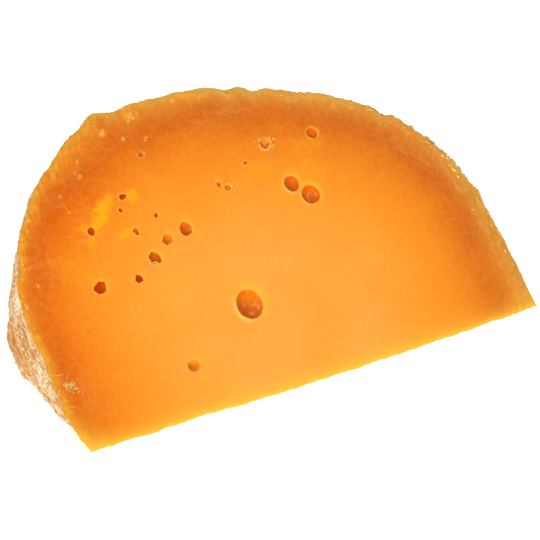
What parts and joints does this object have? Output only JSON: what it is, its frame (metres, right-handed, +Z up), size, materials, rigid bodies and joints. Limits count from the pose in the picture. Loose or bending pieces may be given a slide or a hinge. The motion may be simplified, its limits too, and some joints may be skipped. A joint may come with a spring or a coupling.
{
  "type": "mimolette cheese wedge",
  "caption": "Melon-slice wedge of aged mimolette with a straight cut edge, two cut faces with gas holes and a rough, uneven rind.",
  "frame": {"origin": "under the middle of the wedge's box, on the surface that it rests on", "axes": "+X along the straight edge where the two cuts meet, +Y from that edge towards the rind, +Z up from the resting cut"},
  "size_m": [0.1612, 0.0996, 0.0688],
  "materials": {
    "paste": "smooth waxy orange cheese paste, slightly translucent, darker and redder under the rind",
    "rind": "dry pitted cheese rind in cream, tan and ochre"
  },
  "bodies": {
    "root": {"mimolette_wedge": "paste"}
  },
  "joints": []
}
